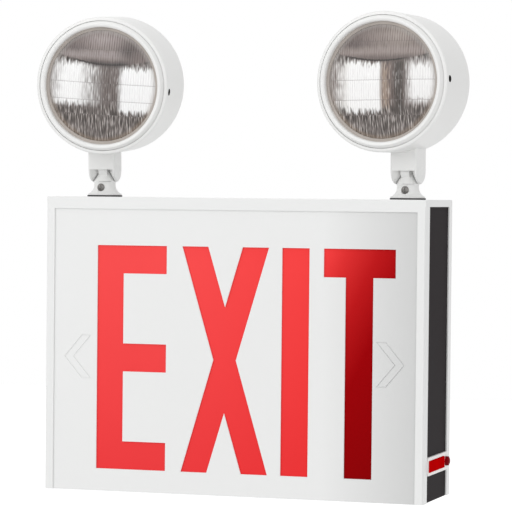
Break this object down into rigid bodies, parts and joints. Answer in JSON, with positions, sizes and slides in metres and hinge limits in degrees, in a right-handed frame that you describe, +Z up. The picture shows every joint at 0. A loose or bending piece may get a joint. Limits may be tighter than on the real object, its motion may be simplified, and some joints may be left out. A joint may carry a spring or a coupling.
{
  "type": "emergency exit light",
  "caption": "Wall sign with a red letter stencil in a white steel cabinet, dark ends, a push-to-test switch and two adjustable round lamp heads on top",
  "frame": {"origin": "on the wall plane at the middle of the back pan, where the supply wires enter", "axes": "+X along the sign towards the switch end, +Y into the wall, +Z up"},
  "size_m": [0.3967, 0.0975, 0.4348],
  "materials": {
    "white_enamel": "semi-gloss white baked enamel on sheet steel",
    "black_enamel": "satin black baked enamel on sheet steel",
    "red_diffuser": "translucent red diffusing panel, lit from behind",
    "zinc_steel": "dull zinc plating",
    "switch_white": "moulded white plastic",
    "pilot_red": "clear red plastic window",
    "button_red": "dark red moulded plastic",
    "black_plastic": "moulded black plastic",
    "chamber_white": "matt white reflecting paint",
    "circuit_board": "green solder mask",
    "led_lens": "clear resin over the chip",
    "battery_case": "dark grey moulded case",
    "nylon_white": "natural nylon",
    "transformer_core": "varnished steel laminations",
    "black_rubber": "plain moulded rubber",
    "head_white": "smooth white moulded thermoplastic",
    "tan_gasket": "tan seal round the lamp",
    "lamp_glass": "pressed glass with vertical flutes inside",
    "lamp_mirror": "aluminised inside",
    "lamp_capsule": "frosted capsule"
  },
  "bodies": {
    "housing": {"back_pan": "white_enamel", "battery": "battery_case", "battery_strap": "zinc_steel", "board_parts": "black_plastic", "board_standoffs": "nylon_white", "bottom_panel": "black_enamel", "charger_board": "circuit_board", "end_panel_left": "black_enamel", "end_panel_right": "black_enamel", "face_screws": "zinc_steel", "frame_left": "white_enamel", "frame_right": "white_enamel", "frame_top": "white_enamel", "led_chips": "led_lens", "led_strip_lower": "circuit_board", "led_strip_upper": "circuit_board", "left_base_cup": "head_white", "left_base_gasket": "black_rubber", "left_base_locknut": "zinc_steel", "left_clamp_screw": "zinc_steel", "lens_panel": "red_diffuser", "light_baffle": "chamber_white", "pilot_board": "circuit_board", "pilot_lens": "pilot_red", "right_base_cup": "head_white", "right_base_gasket": "black_rubber", "right_base_locknut": "zinc_steel", "right_clamp_screw": "zinc_steel", "stencil_face": "white_enamel", "switch_bezel": "switch_white", "terminal_block": "black_plastic", "test_switch": "black_plastic", "top_cover": "white_enamel", "transformer": "transformer_core"},
    "test_button": {"test_button": "button_red"},
    "left_swivel": {"left_swivel": "head_white"},
    "left_head": {"left_yoke": "head_white", "left_pivot_pin": "zinc_steel", "left_lamp_shell": "head_white", "left_yoke_screws": "zinc_steel", "left_retaining_ring": "head_white", "left_ring_screws": "zinc_steel", "left_lamp_gasket": "tan_gasket", "left_lamp_lens": "lamp_glass", "left_lamp_reflector": "lamp_mirror", "left_lamp_bulb": "lamp_capsule"},
    "right_swivel": {"right_swivel": "head_white"},
    "right_head": {"right_yoke": "head_white", "right_pivot_pin": "zinc_steel", "right_lamp_shell": "head_white", "right_yoke_screws": "zinc_steel", "right_retaining_ring": "head_white", "right_ring_screws": "zinc_steel", "right_lamp_gasket": "tan_gasket", "right_lamp_lens": "lamp_glass", "right_lamp_reflector": "lamp_mirror", "right_lamp_bulb": "lamp_capsule"}
  },
  "joints": [
    {"name": "left_pan", "type": "hinge", "parent": "housing", "child": "left_swivel", "pos_m": [-0.1455, -0.0355, 0.13375], "axis": [0, 0, 1], "range_deg": [-63.5, 56.5]},
    {"name": "left_tilt", "type": "hinge", "parent": "left_swivel", "child": "left_head", "pos_m": [-0.1455, -0.0355, 0.15975], "axis": [0.9981, 0.061, 0], "range_deg": [-16, 36]},
    {"name": "right_pan", "type": "hinge", "parent": "housing", "child": "right_swivel", "pos_m": [0.1455, -0.0355, 0.13375], "axis": [0, 0, 1], "range_deg": [-53, 67]},
    {"name": "right_tilt", "type": "hinge", "parent": "right_swivel", "child": "right_head", "pos_m": [0.1455, -0.0355, 0.15975], "axis": [0.9925, -0.1219, 0], "range_deg": [-20, 40]},
    {"name": "test_press", "type": "slide", "parent": "housing", "child": "test_button", "axis": [-1, 0, 0], "range_m": [0, 0.002], "stiffness_N_per_m": 500}
  ]
}
